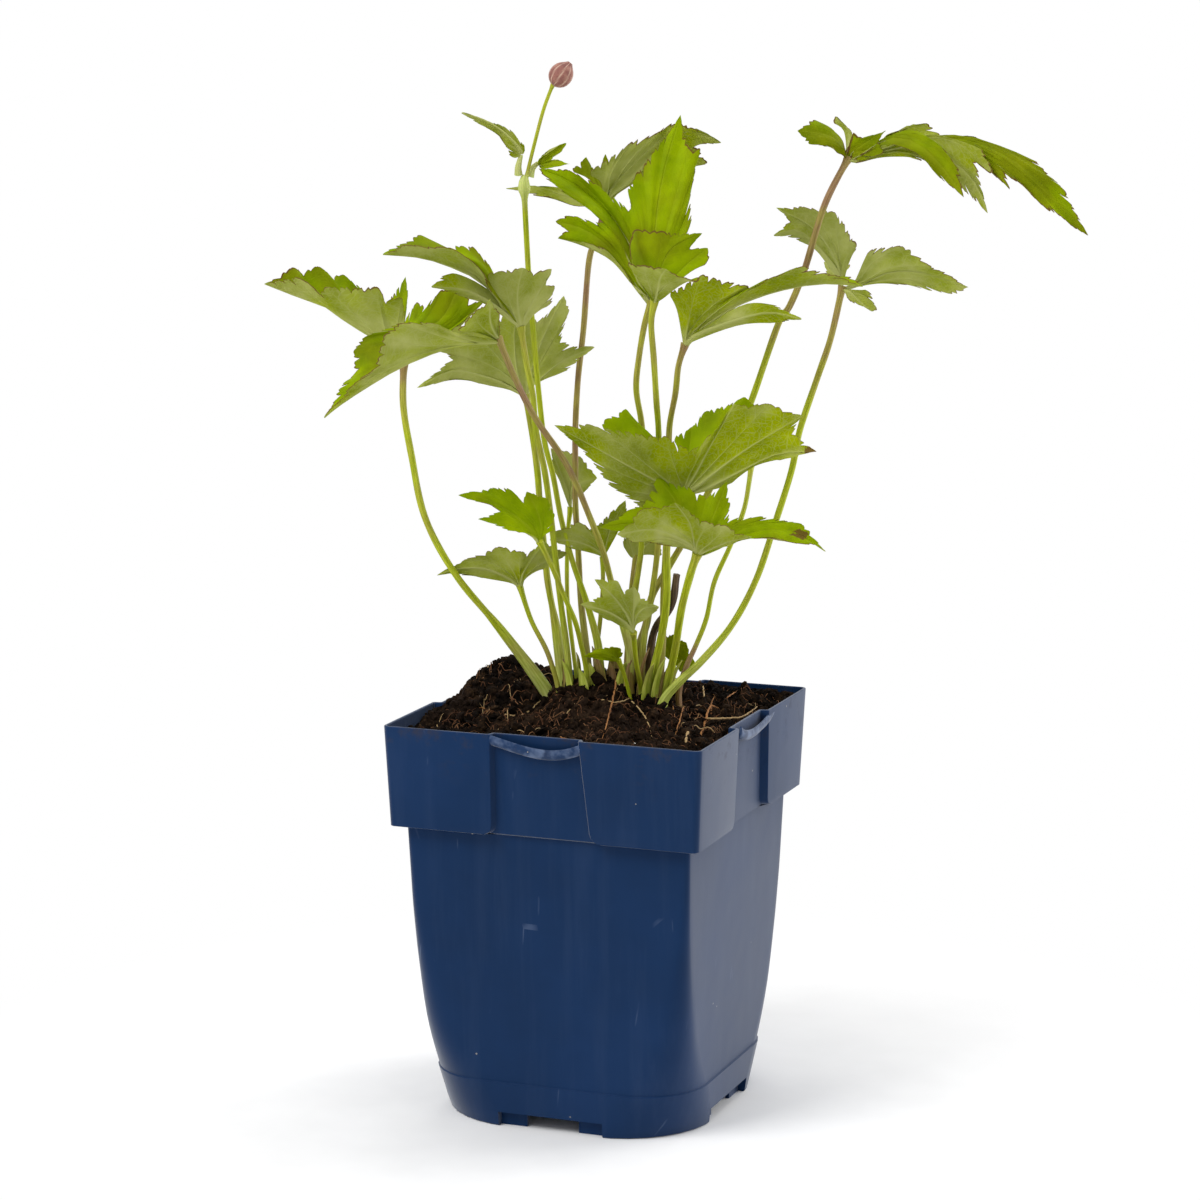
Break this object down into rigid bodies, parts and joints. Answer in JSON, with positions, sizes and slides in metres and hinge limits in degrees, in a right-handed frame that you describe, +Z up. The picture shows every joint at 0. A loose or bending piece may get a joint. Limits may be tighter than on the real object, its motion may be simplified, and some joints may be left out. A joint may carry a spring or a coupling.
{
  "type": "potted japanese anemone",
  "caption": "Young Japanese anemone with long-stalked, deeply toothed leaves and a closed flower bud, growing from peat in a square tapered nursery pot with a stepped collar.",
  "frame": {"origin": "middle of the pot's underside, level with the surface it stands on", "axes": "+Z up along the pot; -Y is the pot's front side and +X its right side, square to its walls; the clump is turned 21 degrees about Z from the pot's sides"},
  "size_m": [0.2829, 0.152, 0.379],
  "materials": {
    "pot_plastic": "dark blue thin moulded polypropylene, satin",
    "peat": null,
    "green_stalk": null,
    "leaf": null,
    "pale_bract": "pale green downy bract base",
    "flower_bud": "dusty pink-brown silky closed sepals",
    "dead_stalk": "dry brown cut stalk"
  },
  "bodies": {
    "root": {"bract_left_blade": "leaf", "bract_left_stalk": "pale_bract", "bract_right_blade": "leaf", "bract_right_stalk": "pale_bract", "cut_stalk": "dead_stalk", "flower_bud": "flower_bud", "flower_stem": "green_stalk", "leaf_back_right_blade": "leaf", "leaf_back_right_stalk": "green_stalk", "leaf_behind_left_blade": "leaf", "leaf_behind_left_stalk": "green_stalk", "leaf_centre_front_blade": "leaf", "leaf_centre_front_stalk": "green_stalk", "leaf_centre_right_blade": "leaf", "leaf_centre_right_stalk": "green_stalk", "leaf_crown_bright_blade": "leaf", "leaf_crown_bright_stalk": "green_stalk", "leaf_crown_green_blade": "leaf", "leaf_crown_green_stalk": "green_stalk", "leaf_far_left_blade": "leaf", "leaf_far_left_stalk": "green_stalk", "leaf_far_right_blade": "leaf", "leaf_far_right_stalk": "green_stalk", "leaf_inner_back_blade": "leaf", "leaf_inner_back_stalk": "green_stalk", "leaf_inner_left_blade": "leaf", "leaf_inner_left_stalk": "green_stalk", "leaf_inner_upper_blade": "leaf", "leaf_inner_upper_stalk": "green_stalk", "leaf_low_left_blade": "leaf", "leaf_low_left_bright_blade": "leaf", "leaf_low_left_bright_stalk": "green_stalk", "leaf_low_left_stalk": "green_stalk", "leaf_middle_big_blade": "leaf", "leaf_middle_big_stalk": "green_stalk", "leaf_middle_front_blade": "leaf", "leaf_middle_front_stalk": "green_stalk", "leaf_near_left_blade": "leaf", "leaf_near_left_stalk": "green_stalk", "leaf_small_front_blade": "leaf", "leaf_small_front_stalk": "green_stalk", "leaf_tall_back_blade": "leaf", "leaf_tall_back_stalk": "green_stalk", "leaf_tall_centre_blade": "leaf", "leaf_tall_centre_stalk": "green_stalk", "leaf_top_right_blade": "leaf", "leaf_top_right_stalk": "green_stalk", "leaf_upper_left_blade": "leaf", "leaf_upper_left_stalk": "green_stalk", "pedicel": "green_stalk", "pot": "pot_plastic", "pot_floor": "pot_plastic", "pot_floor_pad": "pot_plastic", "potting_peat": "peat"}
  },
  "joints": []
}
